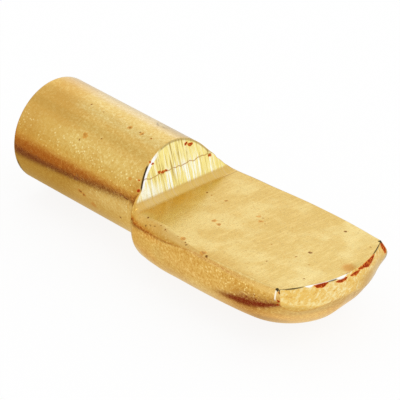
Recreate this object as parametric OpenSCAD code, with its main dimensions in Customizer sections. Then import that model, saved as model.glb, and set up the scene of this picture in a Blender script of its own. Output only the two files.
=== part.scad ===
// Shelf support pin: a round shank that plugs into a hole in the cabinet side, and a
// spoon-shaped head that carries the shelf. One piece, pressed cold from round wire.
//
// +X runs out of the hole towards the tip of the head, +Z points up to the shelf.
// The origin is on the shank's axis, where the head begins and the cabinet side stands.

/* [Shank] */
// Diameter of the round shank
shank_d = 6.35; // [6.1:0.05:6.6]
// Length of the shank inside the hole
shank_len = 8.6; // [6:0.1:12]
// Rounding of the shank's rear edge
rear_r = 0.2; // [0.1:0.05:1]

/* [Step] */
// Distance from the cabinet side to the step, on the shank's axis
step_x = 2.25; // [2:0.05:3]
// Lean of the step's face back from upright, in degrees
step_lean = 19.5; // [0:0.5:25]
// Radius of the hollow along the foot of the step
foot_r = 0.45; // [0.2:0.05:1]

/* [Seat] */
// Height of the shelf seat above the shank's axis, at the foot of the step
seat_z = 0.35; // [0.2:0.05:0.8]
// Rise of the seat towards the tip, in degrees
seat_rise = 1.6; // [0:0.1:2.5]

/* [Head in plan] */
// Half width of the head where it leaves the shank, still inside the round
neck_y = 2.35; // [2.2:0.05:2.6]
// How far the neck stands proud of the round, all the way round
neck_swell = 0.02; // [0.01:0.005:0.05]
// Distance from the cabinet side to the start of the neck's flare
flare_start = 0.5; // [0:0.1:1]
// Distance from the cabinet side to the end of the flare
flare_end = 2.45; // [2.3:0.05:3.2]
// Half width that the flank has at the step, were there no flare
flank_y = 4.2; // [3.8:0.05:4.3]
// Half width at the widest place
wide_y = 4.65; // [4.4:0.05:4.8]
// Distance of the widest place from the cabinet side
wide_x = 10.1; // [9:0.1:11]
// Taper of the flank from the widest place to the tip, per square millimetre
tip_taper = 0.03; // [0:0.005:0.04]

/* [Head from the side] */
// Depth of the neck's keel below the shank's axis, inside the round
neck_z = 3; // [2.8:0.05:3.05]
// Depth of the belly below the shank's axis
belly_z = 3.7; // [3.5:0.05:4]
// How far the belly's growth runs ahead of the flare's
belly_lead = 0.2; // [0:0.05:0.5]
// Distance from the cabinet side to where the belly starts to rise
rise_x = 11.3; // [9.5:0.1:11.5]
// Distance from the cabinet side to the stem that the belly rises to
stem_x = 15.25; // [15.2:0.05:16]
// Fullness of the rise, 2 for an ellipse
rise_n = 1.55; // [1.5:0.05:2.5]

/* [Head's section] */
// Height of the widest line at the step
girth_z = 0.05; // [-0.2:0.05:0.2]
// Height of the widest line where it sags lowest
girth_low_z = -0.75; // [-1:0.05:-0.2]
// Distance of that lowest place from the cabinet side
girth_low_x = 10.5; // [8:0.1:11]
// Height of the widest line at the tip
girth_tip_z = 0.35; // [0.1:0.05:0.5]
// Fullness of the section under the widest line at the step, 2 for an ellipse
belly_n = 2.45; // [2.2:0.05:2.8]
// The same at the tip
belly_tip_n = 1.4; // [1.4:0.05:2.2]
// Fullness of the shoulder over the widest line at the step
shoulder_n = 2.25; // [2:0.05:2.6]
// The same from the middle of the head on, where the flank stands nearly upright
shoulder_full_n = 3.45; // [2.6:0.05:4]
// Height of the shoulder's crown above the shank's axis, were it not pressed flat
shoulder_z = 1.8; // [1.6:0.05:2.4]

/* [Tip] */
// Distance from the cabinet side to the crest of the tip, at seat level
tip_x = 14.9; // [14.5:0.05:15]
// Radius of the sheared tip in plan
tip_r = 7.1; // [6:0.05:8]
// Radius of the tip's roll-over below the seat
roll_r = 2.4; // [2:0.1:5]
// Height at which the roll-over ends and the tip's face drops straight
roll_z = -0.15; // [-0.8:0.05:0]

/* [Hidden] */
$fn = 96;
brass = [0.86, 0.70, 0.37];
shank_r = shank_d / 2;
// Foot of the step, where the seat meets the lean of its face
foot_x = step_x - seat_z * tan(step_lean);
// Height of the seat at the crest of the tip
seat_tip = seat_z + (tip_x - foot_x) * tan(seat_rise);
// Room that the cutters leave past the metal
past = 12;
// The shank's round ends this far inside the neck, and the loft just short of its stem
root_x = 0.5;
loft_end = 0.995;
rings = 40;
half_steps = 14;

// Smooth step from 0 to 1 as u goes from 0 to 1
function ease(u) = let (v = min(max(u, 0), 1)) v * v * (3 - 2 * v);

// How far the head has grown out of its neck at x
function growth(x) = ease((x - flare_start) / (flare_end - flare_start));

// Place between the step, 0, and the tip, 1
function run(x) = min(max((x - step_x) / (tip_x - step_x), -0.2), 1.05);

// Fullness of the section at x, under the widest line and over it
function under_n(x) = belly_n + (belly_tip_n - belly_n) * run(x);
function over_n(x) = shoulder_n + (shoulder_full_n - shoulder_n) * ease(2 * run(x));

// Half width of the head at its widest line
function half_width(x) =
    let (
        q = x - wide_x,
        flank = wide_y - (q < 0 ? (wide_y - flank_y) * pow(q / (wide_x - step_x), 2) : tip_taper * q * q)
    )
    neck_y + (flank - neck_y) * growth(x);

// Height of the widest line
function girth(x) =
    let (
        q = x - girth_low_x,
        end_x = q < 0 ? step_x : tip_x,
        end_z = q < 0 ? girth_z : girth_tip_z
    )
    girth_low_z + (end_z - girth_low_z) * min(pow(q / (end_x - girth_low_x), 2), 1.25);

// Depth of the section below the widest line
function keel(x) =
    let (q = min(max((x - rise_x) / (stem_x - rise_x), 0), loft_end))
    (girth(x) + neck_z + (belly_z - neck_z) * growth(x + belly_lead)) * pow(1 - pow(q, rise_n), 1 / rise_n);

// Radius of the round that the head encloses: whole at the neck, gone at the widest place
function core(x) = (shank_r + neck_swell) * (1 - ease((x - step_x) / (wide_x - step_x)));

// Point of the section at x: a is 0 at the widest line, 90 at the top and -90 at the keel
function head_point(x, a) =
    let (
        n = a < 0 ? under_n(x) : over_n(x),
        h = a < 0 ? keel(x) : shoulder_z - girth(x),
        y = sign(cos(a)) * half_width(x) * pow(abs(cos(a)), 2 / n),
        z = girth(x) + sign(sin(a)) * h * pow(abs(sin(a)), 2 / n),
        grow = max(1, core(x) / norm([y, z]))
    )
    [x, y * grow, z * grow];

// Stations along the head, closer together towards the stem
function station(i) =
    let (u = i / (rings - 1), stop = rise_x + (stem_x - rise_x) * loft_end)
    stop * (0.4 * u + 0.6 * sin(90 * u));

// Loft through the head's sections, still with its full shoulder
module head_loft() {
    around = 4 * half_steps;
    points = [
        for (i = [0 : rings - 1], j = [0 : around - 1])
            head_point(station(i), 360 * (j + 0.5) / around - 180)
    ];
    sides = [
        for (i = [0 : rings - 2], j = [0 : around - 1])
            let (k = (j + 1) % around)
            [i * around + j, (i + 1) * around + j, (i + 1) * around + k, i * around + k]
    ];
    rear = [for (j = [0 : around - 1]) j];
    front = [for (j = [0 : around - 1]) rings * around - 1 - j];
    polyhedron(points = points, faces = concat(sides, [rear, front]));
}

// Room that the tip's shear leaves: a block back to the neck, and in front of it a drum
// whose wall stands upright below and rolls back towards the seat
module tip_room() {
    back = roll_r - sqrt(roll_r * roll_r - pow(seat_tip - roll_z, 2));
    wall = tip_r + back;
    translate([-past, -past, -past])
        cube([past + tip_x - tip_r, 2 * past, 2 * past]);
    translate([tip_x - tip_r, 0, 0])
        rotate_extrude() {
            translate([0, -past])
                square([wall, past + roll_z]);
            intersection() {
                union() {
                    translate([wall - roll_r, roll_z])
                        circle(roll_r);
                    translate([0, roll_z])
                        square([wall - roll_r, roll_r]);
                }
                translate([0, roll_z])
                    square([wall, roll_r]);
            }
        }
}

// Outline, from the side, of what the press takes away above the seat
module seat_outline() {
    foot = [foot_x, seat_z];
    up = [-sin(step_lean), cos(step_lean)];
    along = [cos(seat_rise), sin(seat_rise)];
    corner = 90 + step_lean - seat_rise;
    reach = foot_r / tan(corner / 2);
    mid = (up + along) / norm(up + along);
    centre = foot + mid * foot_r / sin(corner / 2);
    union() {
        polygon([foot + along * reach, foot + along * 2 * past, foot + along * 2 * past + [0, past],
            foot + up * past, foot + up * reach, centre]);
        translate(centre)
            circle(foot_r);
    }
}

module shank() {
    rotate([0, 90, 0])
        rotate_extrude()
            union() {
                translate([0, -shank_len + rear_r])
                    square([shank_r, shank_len - rear_r + root_x]);
                translate([0, -shank_len])
                    square([shank_r - rear_r, rear_r]);
                translate([shank_r - rear_r, -shank_len + rear_r])
                    circle(rear_r);
            }
}

module pin() {
    color(brass)
        difference() {
            union() {
                shank();
                intersection() {
                    head_loft();
                    tip_room();
                }
            }
            rotate([90, 0, 0])
                linear_extrude(height = 2 * past, center = true)
                    seat_outline();
        }
}

pin();
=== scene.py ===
"""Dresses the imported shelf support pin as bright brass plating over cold-pressed wire.

The script is laid out as an add-on and runs as a script: main() registers the classes,
then calls one operator for the pin's surface, one for its finish and one for the stage.
Lengths are in metres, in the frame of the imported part: +X towards the tip, +Z up.
"""

import math
from functools import partialmethod

import bpy
import numpy as np
from bpy.props import FloatProperty, FloatVectorProperty, IntProperty, PointerProperty
from mathutils import Matrix, Vector


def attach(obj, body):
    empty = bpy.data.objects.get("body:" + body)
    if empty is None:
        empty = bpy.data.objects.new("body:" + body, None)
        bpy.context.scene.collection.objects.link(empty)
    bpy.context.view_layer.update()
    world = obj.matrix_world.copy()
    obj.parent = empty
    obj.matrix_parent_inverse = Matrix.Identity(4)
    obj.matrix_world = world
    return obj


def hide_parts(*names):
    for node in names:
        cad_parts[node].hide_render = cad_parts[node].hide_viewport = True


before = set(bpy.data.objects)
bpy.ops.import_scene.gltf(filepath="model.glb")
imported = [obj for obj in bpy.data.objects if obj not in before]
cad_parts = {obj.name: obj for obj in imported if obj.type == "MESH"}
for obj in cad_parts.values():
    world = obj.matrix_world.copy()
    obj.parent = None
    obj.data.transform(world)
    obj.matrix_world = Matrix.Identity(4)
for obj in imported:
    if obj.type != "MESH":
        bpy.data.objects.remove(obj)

bl_info = {
    "name": "Shelf support pin",
    "version": (1, 0, 0),
    "blender": (4, 5, 0),
    "location": "View3D > Sidebar > Pin",
    "description": "Builds the dressed shelf support pin, its plating and a small studio",
    "category": "Object",
}

MM = 0.001
PIN = "pin_plated"
CAD_NODE = "pin"
BODY = "root"

# Points on a loop of the surface: round the outside, across the cut, and in each rounded edge
AROUND = 168
ACROSS = 144
IN_EDGE = 4

# Rows of loops: on the rear face, in its rounding, along the shank, down the step, round the hollow,
# along the head, in the tip's rounding and on the sheared face
ON_REAR = 8
IN_REAR_EDGE = 4
ON_SHANK = 92
ON_STEP = 60
IN_HOLLOW = 8
ON_HEAD = 120
IN_TIP_EDGE = 3
ON_FACE = 12

# Places of the step, the head and the tip's rounding in what PinForm.rows gives; the sheared face is next
STEP, HEAD, BEND = 2, 3, 4

# Start and run, in millimetres along the pin, of smooth steps: the round of the wire fades out, the
# shoulder fills, and the seat's edge turns soft by the neck and crisp again
WIRE_FADES = (2.25, 5.5)
SHOULDER_FILLS = (2.28, 6.0)
EDGE_SOFTENS = (1.8, 0.35)
EDGE_CRISPS = (4.2, 4.2)

# The head's middle and half length, and the softness of its meeting with the round wire, in millimetres
HEAD_MIDDLE = 8.28
HALF_HEAD = 6.0
BLEND = 0.08

# Sizes that the finish needs too: the step's run for each unit of height, and the seat's height at the tip
STEP_LEAN = 0.353
TIP_TOP = 0.690


def length(name, text, value):
    """A length property whose default is given in millimetres."""
    return FloatProperty(name=name, description=text, default=value * MM, unit="LENGTH", precision=6)


def plain(name, text, value):
    """A plain number property."""
    return FloatProperty(name=name, description=text, default=value, precision=5)


def triple(name, text, value, subtype="NONE"):
    """A property of three numbers."""
    return FloatVectorProperty(name=name, description=text, default=value, precision=7, subtype=subtype)


def colour(name, text, value):
    """A colour property, linear."""
    return FloatVectorProperty(name=name, description=text, default=value, min=0.0, max=1.0, subtype="COLOR")


class PinShape(bpy.types.PropertyGroup):
    """Sizes of the pin's surface."""

    radius: length("Shank radius", "Radius of the round shank", 3.175)
    rear_x: length("Rear end", "Where the shank's rear face crosses its axis", -8.53)
    rear_lean: plain("Rear lean", "Run of the rear face towards -X for each unit of height", 0.0215)
    rear_r: length("Rear rounding", "Rounding of the shank's rear edge", 0.12)
    step_x: length("Step", "Where the step's face would cross the shank's axis", 2.263)
    step_lean: plain("Step lean", "Run of the step's face towards -X for each unit of height", STEP_LEAN)
    seat_x: length("Seat start", "Where the seat's height is given", 2.28)
    seat_z: length("Seat height", "Height of the seat there", 0.367)
    seat_rise: plain("Seat rise", "Rise of the seat for each unit towards the tip", 0.02858)
    foot_r: length("Hollow", "Radius of the hollow at the foot of the step", 0.45)
    flare_start: length("Flare start", "Where the neck begins to flare", 0.488)
    flare_end: length("Flare end", "Where the flare ends", 2.44)
    neck_y: length("Neck half width", "Half width of the head inside the round", 2.342)
    neck_z: length("Neck depth", "Depth of the keel inside the round", 3.002)
    belly_lead: length("Belly lead", "How far the belly's growth runs ahead of the flare", 0.222)
    flank_y: length("Flank", "Half width at the step, were there no flare", 4.19)
    wide_y: length("Widest", "Half width at the widest place", 4.55)
    wide_x: length("Widest place", "Where the head is widest", 10.084)
    taper: plain("Tip taper", "Loss of half width per square millimetre past the widest place", 0.030)
    belly_z: length("Belly", "Depth of the belly under the axis", 3.666)
    rise_x: length("Rise", "Where the belly starts to rise", 11.27)
    stem_x: length("Stem", "Where the rising belly stands upright", 15.255)
    rise_n: plain("Rise fullness", "Exponent of the rise", 1.54)
    girth_z: length("Widest line at the step", "Its height", 0.05)
    girth_low_z: length("Widest line at its lowest", "Its height", -0.77)
    girth_low_x: length("Lowest place", "Where the widest line lies lowest", 10.5)
    girth_tip_z: length("Widest line at the tip", "Its height", 0.367)
    belly_n: plain("Belly fullness", "Exponent under the widest line, at mid-head", 1.923)
    belly_loss: plain("Belly fullness loss", "Its loss from mid-head to the tip", 0.524)
    shoulder_n: plain("Shoulder fullness", "Exponent over the widest line, at the step", 2.248)
    shoulder_gain: plain("Shoulder gain", "Its gain from the step to mid-head", 1.196)
    crown_z: length("Crown", "Height of the section's crown, were it not pressed flat", 1.784)
    tip_x: length("Tip", "Crest of the sheared tip, at the seat", 14.862)
    tip_r: length("Tip radius", "Radius of the sheared tip in plan", 7.077)
    tip_z: length("Tip height", "Height of the seat at the tip", TIP_TOP)
    roll_r: length("Roll radius", "Radius of the tip's roll-over", 2.388)
    roll_z: length("Roll crest", "Height at which the roll-over stands furthest out", -0.153)
    roll_low: length("Roll low", "Height under which the roll-over runs on straight", -1.5)
    aside: length("Aside", "How far the press pushed the head towards +Y", 0.094)
    edge: length("Edge", "Width of the rounding along the crisp edges", 0.06)
    soft_edge: length("Soft edge", "Width of the rounding of the seat's edges near the neck", 0.55)


class PinFinish(bpy.types.PropertyGroup):
    """The main colours and values of the finish."""

    gold: colour("Plating", "Colour of the plating", (0.70, 0.450, 0.112))
    pale_gold: colour("Pale flecks", "Colour of the plating's pale flecks", (0.90, 0.68, 0.26))
    orange_gold: colour("Orange clouds", "Colour of the plating's orange clouds", (0.60, 0.315, 0.048))
    seat_gold: colour("Seat", "Colour of the pressed seat", (0.665, 0.455, 0.128))
    step_yellow: colour("Step", "Colour of the burnished step", (0.96, 0.80, 0.26))
    shear_gold: colour("Sheared tip", "Colour of the sheared tip", (0.86, 0.56, 0.135))
    rust: colour("Rust", "Colour of the rust", (0.46, 0.050, 0.005))
    roughness: plain("Plating roughness", "Roughness of the plating", 0.24)
    step_roughness: plain("Step roughness", "Roughness of the burnished step", 0.16)
    seat_roughness: plain("Seat roughness", "Roughness of the pressed seat", 0.27)
    shear_roughness: plain("Shear roughness", "Roughness of the sheared tip", 0.42)
    peel: length("Orange peel", "Height of the plating's fine unevenness", 0.006)
    detail: IntProperty(name="Detail", description="Octaves of the fine noise", default=3)


class PinStage(bpy.types.PropertyGroup):
    """The camera, the floor and the light."""

    eye: triple("Eye", "Place of the camera", (0.1111591, -0.1154113, 0.0883672), "TRANSLATION")
    right: triple("Right", "Direction to the right of the picture", (0.70660386, 0.70498155, 0.06092611))
    back: triple("Back", "Direction from the pin to the camera", (0.59548464, -0.63894113, 0.48698283))
    focal: plain("Focal length", "Focal length in widths of the picture", 8.0154)
    floor_z: length("Floor", "Height of the floor under the belly", -3.70)
    floor_white: plain("Floor white", "Share of the floor's white that shadows don't darken", 0.88)
    sky: plain("Sky", "Strength of the soft light from all round", 0.95)


def soft_step(value, start, run):
    """Smooth step of u, the run's share past its start: 0 up to u = 0, 1 from u = 1 on, else 3u^2 - 2u^3."""
    u = np.clip((value - start) / run, 0.0, 1.0)
    return u * u * (3.0 - 2.0 * u)


def halve(holds, low, high, times):
    """The last place, between low and high, where a test still holds, closed in on by halving."""
    for _ in range(times):
        middle = 0.5 * (low + high)
        here = holds(middle)
        low, high = np.where(here, middle, low), np.where(here, high, middle)
    return low


class PinForm:
    """The pin's surface as formulas, from the sizes in PinShape."""

    def __init__(self, s):
        self.s = s

    def seat(self, x):
        """Height of the seat: a straight line that rises towards the tip."""
        return self.s.seat_z + self.s.seat_rise * (x - self.s.seat_x)

    def flare(self, x):
        """Growth of the neck, a smooth step from the flare's start to its end."""
        s = self.s
        return soft_step(x, s.flare_start, s.flare_end - s.flare_start)

    def half_width(self, x):
        """Half width: a parabola up to the widest place, a steeper one past it, grown by the flare."""
        s = self.s
        q = x - s.wide_x
        swell = (s.wide_y - s.flank_y) * (q / (s.wide_x - s.seat_x)) ** 2
        flank = s.wide_y - np.where(q < 0.0, swell, s.taper / MM * q * q)
        return s.neck_y + (flank - s.neck_y) * self.flare(x)

    def girth(self, x):
        """Height of the widest line: a parabola down to its lowest place and another up to the tip."""
        s = self.s
        ahead = x >= s.girth_low_x
        end_x = np.where(ahead, s.tip_x, s.seat_x)
        end_z = np.where(ahead, s.girth_tip_z, s.girth_z)
        q = np.clip((x - s.girth_low_x) / np.abs(end_x - s.girth_low_x), -1.15, 1.05)
        return s.girth_low_z + (end_z - s.girth_low_z) * q * q

    def keel(self, x):
        """Depth under the widest line: the flare's smooth step times a superellipse that rises to a stem."""
        s = self.s
        q = np.clip((x - s.rise_x) / (s.stem_x - s.rise_x), 0.0, 0.9995)
        deep = s.neck_z + (s.belly_z - s.neck_z) * self.flare(x + s.belly_lead)
        return (self.girth(x) + deep) * (1.0 - q**s.rise_n) ** (1.0 / s.rise_n)

    def section(self, x, t, side):
        """Point of the section at x on one side; t is -pi/2 at the keel, 0 at the widest line.

        Below the widest line it is one superellipse, above it another. Where it would lie inside
        the round of the shank, a smooth maximum of the two radii brings it out to the round.
        """
        s = self.s
        under = s.belly_n - s.belly_loss * np.clip((x / MM - HEAD_MIDDLE) / HALF_HEAD, -1.3, 1.2)
        over = s.shoulder_n + s.shoulder_gain * soft_step(x / MM, *SHOULDER_FILLS)
        sin, cos = np.sin(t), np.abs(np.cos(t))
        low = sin < 0.0
        line = self.girth(x)
        y = side * self.half_width(x) * np.where(low, cos ** (2.0 / under), cos ** (2.0 / over))
        y = y + s.aside * self.flare(x)
        lift = np.abs(sin)
        belly = line - self.keel(x) * lift ** (2.0 / under)
        z = np.where(low, belly, line + (s.crown_z - line) * lift ** (2.0 / over))
        r = np.hypot(y, z)
        core = s.radius * (1.0 - soft_step(x / MM, *WIRE_FADES))
        out = 0.5 * (r + core + np.sqrt((r - core) ** 2 + (BLEND * MM) ** 2))
        return y * out / r, z * out / r

    def corner(self, x, z, side):
        """Parameter t at which the section reaches height z, found by halving."""
        quarter = np.full_like(x, np.pi / 2)
        return halve(lambda t: self.section(x, t, side)[1] < z, np.zeros_like(x), quarter, 36)

    def tip(self, y, z):
        """x of the sheared face: a circle in plan, whose radius follows the roll-over's arc up and down
        from its crest and, low down, the arc's tangent.
        """
        s = self.s

        def roll(h):
            on_arc = np.maximum(h, s.roll_low) - s.roll_z
            rest = math.sqrt(s.roll_r**2 - (s.roll_low - s.roll_z) ** 2)
            below = np.minimum(h - s.roll_low, 0.0) * (s.roll_z - s.roll_low) / rest
            return np.sqrt(s.roll_r**2 - on_arc**2) - s.roll_r + below

        reach = s.tip_r + roll(z) - roll(s.tip_z)
        return s.tip_x - s.tip_r + np.sqrt(np.maximum(reach**2 - y * y, (0.1 * MM) ** 2))

    def edge_width(self, x, side):
        """Width of the seat's rounded edges: soft by the neck on the -Y side, else crisp."""
        s = self.s
        soft = (1.0 - soft_step(x / MM, *EDGE_CRISPS)) * soft_step(x / MM, *EDGE_SOFTENS)
        return s.edge + (s.soft_edge - s.edge) * soft * (1.0 if side < 0 else 0.15)

    def step_profile(self):
        """(x, z) down the step's straight face and round the arc of the hollow to the seat."""
        s = self.s
        lean, rise = math.atan(s.step_lean), math.atan(s.seat_rise)
        up = np.array([-math.sin(lean), math.cos(lean)])
        along = np.array([math.cos(rise), math.sin(rise)])
        foot_z = (s.seat_z + s.seat_rise * (s.step_x - s.seat_x)) / (1.0 + s.seat_rise * s.step_lean)
        foot = np.array([s.step_x - s.step_lean * foot_z, foot_z])
        half = 0.5 * (math.pi / 2 + lean - rise)
        centre = foot + (up + along) / np.linalg.norm(up + along) * s.foot_r / math.sin(half)
        reach = s.foot_r / math.tan(half)
        top, end = foot + up * reach, foot + along * reach
        z = s.radius + (top[1] - s.radius) * np.linspace(0.0, 1.0, ON_STEP) ** 1.25
        face = np.stack([s.step_x - s.step_lean * z, z], 1)
        start = math.atan2(*(top - centre)[::-1])
        stop = math.atan2(*(end - centre)[::-1])
        angle = np.linspace(start if start < 0 else start - 2 * math.pi, stop, IN_HOLLOW + 1)[1:]
        arc = centre + s.foot_r * np.stack([np.cos(angle), np.sin(angle)], 1)
        return np.concatenate([face, arc])

    def loops(self, x, height, share=None):
        """Closed loops of the head, one for each x: round the outside, over a rounded edge, across the cut.

        height gives the cut's height. Where share is given, the loops start in the plane x and reach
        the sheared face at share 1: each point goes that share of the way to where its line along
        the head meets the face, which is found by halving.
        """
        rows = len(x)
        x = x[:, None]
        tipped = share is not None
        share = np.zeros((rows, 1)) if share is None else share[:, None]

        def settle(point, count):
            start, far = x + np.zeros((rows, count)), np.full((rows, count), self.s.stem_x)
            met = halve(lambda at: at < self.tip(*point(at)), start, far, 24 if tipped else 0)
            at = x + share * (met - x)
            return np.stack([at, *point(at)], 2)

        def outside(side, part):
            part = part + np.zeros((rows, 1))

            def point(at):
                top = self.corner(at, height(at), side)
                return self.section(at, -np.pi / 2 + part * (top + np.pi / 2), side)

            return settle(point, part.shape[1])

        def across(y):
            return settle(lambda at: (y, height(at) + np.zeros_like(y)), y.shape[1])

        ends = {side: outside(side, np.ones((1, 1))) for side in (1, -1)}
        width = 0.5 * (ends[1][:, :, 1] - ends[-1][:, :, 1])
        drop = np.linspace(0.0, 1.0, IN_EDGE + 1)[None, :, None]
        edge, part, bend = {}, {}, {}
        for side in (1, -1):
            edge[side] = np.minimum(self.edge_width(ends[side][:, :, 0], side), 0.45 * width)
            step = 1e-3
            pace = np.linalg.norm(ends[side] - outside(side, np.full((1, 1), 1.0 - step)), axis=2) / step
            part[side] = 1.0 - edge[side] / pace
            first = outside(side, part[side])
            last = across(ends[side][:, :, 1] - side * edge[side])
            bend[side] = (1 - drop) ** 2 * first + 2 * drop * (1 - drop) * ends[side] + drop**2 * last
        ramp = np.linspace(0.0, 1.0, AROUND // 2 + 1)[None, :]
        right = outside(1, ramp * part[1])[:, ::-1]
        left = outside(-1, ramp * part[-1])[:, 1:]
        y_left, y_right = ends[-1][:, :, 1] + edge[-1], ends[1][:, :, 1] - edge[1]
        over = np.linspace(0.0, 1.0, ACROSS - 2 * IN_EDGE + 1)[None, :]
        flat = across(y_left + (y_right - y_left) * over)
        return np.concatenate([right, left, bend[-1][:, 1:], flat[:, 1:], bend[1][:, ::-1][:, 1:-1]], axis=1)

    def rings(self, x):
        """Full rings of the shank, as loops whose columns across the cut all lie on the top point."""
        t = -np.pi / 2 + np.linspace(0.0, np.pi, AROUND // 2 + 1)[None, :] + 0 * x[:, None]
        at = x[:, None] + 0 * t
        half = {}
        for side in (1, -1):
            y, z = self.section(at, t, side)
            y[:, -1] = 0.0
            half[side] = np.stack([at, y, z], 2)
        middle = 0.5 * (half[1][:, 0] + half[-1][:, 0])
        half[1][:, 0] = half[-1][:, 0] = middle
        top = np.repeat(half[-1][:, -1:], ACROSS - 1, axis=1)
        return np.concatenate([half[1][:, ::-1], half[-1][:, 1:], top], axis=1)

    def rows(self):
        """All the loops from the middle of the rear face to the middle of the sheared face, by zone.

        Both end faces shrink towards their middle. The rear rounding is a quarter circle, and the
        tip's is a parabola from the last loop of the head over the corner to the sheared face.
        """
        s = self.s
        profile = self.step_profile()
        start = s.rear_x + s.rear_r
        u = np.linspace(0.0, 1.0, ON_SHANK + 1)[:-1]
        shank = self.rings(start + (profile[0, 0] - start) * u)
        shank[:, :, 0] -= s.rear_lean * shank[:, :, 2] * (1.0 - u[:, None]) ** 2
        inner = (s.radius - s.rear_r) / s.radius
        corner = np.linspace(0.0, np.pi / 2, IN_REAR_EDGE + 1)[:-1]
        outward = inner * np.linspace(0.0, 1.0, ON_REAR + 1)[:-1]
        scale = np.concatenate([outward, inner + (1 - inner) * np.sin(corner)])
        inset = np.concatenate([np.zeros(ON_REAR), s.rear_r * (1.0 - np.cos(corner))])
        rear = np.repeat(shank[:1], len(scale), axis=0)
        rear[:, :, 1:] *= scale[:, None, None]
        rear[:, :, 0] = s.rear_x + inset[:, None] - s.rear_lean * rear[:, :, 2]
        heights = profile[:, 1][:, None]
        step = self.loops(profile[:, 0], lambda at: heights + 0 * at)
        root = profile[-1, 0]
        reach = s.tip_x - root
        share = np.linspace(0.0, 1.0, ON_HEAD + 1)[1:] * (1.0 - s.edge / reach)
        head = self.loops(np.full(ON_HEAD, root), self.seat, share)
        end = self.loops(np.array([root]), self.seat, np.array([1.0]))[0]
        middle = np.array([0.0, -0.15 * MM])
        squeeze = [0.35, 1.0]
        inward = middle - end[:, 1:]
        inward = inward / np.linalg.norm(inward * squeeze, axis=1)[:, None]
        inside = end[:, 1:] + inward * squeeze * s.edge
        q = np.linspace(0.0, 1.0, IN_TIP_EDGE + 1)[1:, None, None]
        first = np.concatenate([self.tip(inside[:, 0], inside[:, 1])[:, None], inside], 1)
        bend = (1 - q) ** 2 * head[-1] + 2 * q * (1 - q) * end + q * q * first
        plan = inside + (middle - inside) * np.linspace(0.0, 1.0, ON_FACE + 1)[1:, None, None]
        face = np.concatenate([self.tip(plan[..., 0], plan[..., 1])[..., None], plan], 2)
        return rear, shank, step, head, bend, face


def bell(value, at, size):
    """A bell of height one about a value: the exponential of minus the squared scaled distance."""
    return np.exp(-(((value - at) / size) ** 2))


def bump_at(u, v, at_u, at_v, size_u, size_v):
    """A bell of height one about a point, as the one above but in two directions."""
    return np.exp(-(((u - at_u) / size_u) ** 2) - ((v - at_v) / size_v) ** 2)


def work_marks(points, cut, zone):
    """What pressing and shearing left in the metal, added to the smooth surface, in millimetres.

    The seat has two shallow waves along its length and a dent at the tip; the step's face has drag
    grooves, a sum of sines across it; the sheared face has upright ripples, a low swell and a burr at one
    corner; the shoulder on the +Y side is drawn out above the hollow's end and in at the hollow's end;
    the seat's +Y edge and the -Y hip under the hollow wander by a few hundredths of a millimetre.
    """
    x, y, z = (points[..., k] / MM for k in range(3))
    on_step, on_seat, on_tip = cut * (zone == STEP), cut * (zone == HEAD), zone >= BEND

    wave = 0.010 * np.sin(0.9 * x + 0.5 * y) + 0.006 * np.sin(1.9 * y + 0.35 * x + 1.0)
    dent = -0.14 * bump_at(x, y, 14.76, 0.85, 0.34, 0.62)
    lip = 0.020 * bump_at(x, y, 14.35, -2.3, 0.22, 1.2)
    lift = on_seat * (wave * soft_step(x, 2.8, 1.5) * soft_step(x, 14.2, -1.2) + dent + lip)
    lift = lift + 0.03 * on_seat * bell(x, 9.4, 2.2) * soft_step(y, 3.5, 0.7)

    drag = 0.5 * np.sin(9.1 * y + 0.8) + 0.35 * np.sin(17.3 * y + 2.1) + 0.25 * np.sin(31.7 * y + 0.4)
    drag = 0.004 * drag * (0.6 + 0.4 * np.sin(1.3 * z + 0.6 * y))
    ripple = 0.5 * np.sin(6.3 * y + 0.4 * np.sin(3.1 * z)) + 0.5 * np.sin(13.7 * y + 1.7)
    ripple = 0.006 * ripple - 0.006 - 0.05 * bump_at(y, z, 0.7, 0.66, 0.6, 0.3)
    swell = 0.10 * bump_at(y, z, 1.5, -1.4, 0.65, 0.7) * np.where(on_tip, 1.0, soft_step(x, 13.3, 1.0))
    forward = on_step * drag * soft_step(z, 0.75, 0.5) * soft_step(z, 3.1, -0.3)
    forward = forward + on_tip * ripple * soft_step(z, -2.6, 0.8) + swell * (zone >= HEAD)

    shoulder = 1.9 * bump_at(x, z, 1.74, 1.42, 0.34, 0.40) - bump_at(x, z, 1.95, 0.85, 0.30, 0.25)
    side = 0.05 * bell(x, 3.9, 0.9) + 0.004 * bell(x, 9.4, 1.7)
    aside = 0.10 * shoulder * soft_step(y, 1.6, 0.9) + side * soft_step(y, 3.2, 0.8) * soft_step(z, -0.8, 0.6)

    burr = 0.37 * bump_at(y, z, 4.2, -0.03, 0.5, 0.57) * bell(x, 13.75, 0.55)
    hip = 0.05 * bell(x, 4.2, 0.9) - 0.09 * bell(x, 2.45, 0.33)
    hip = hip * bump_at(y, z, -3.5, -2.4, 0.8, 0.8)
    push = np.stack([forward + 0.5 * burr, aside + 0.8 * burr - 0.8 * hip, lift - 0.6 * hip], 2)
    return points + MM * push


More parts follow.
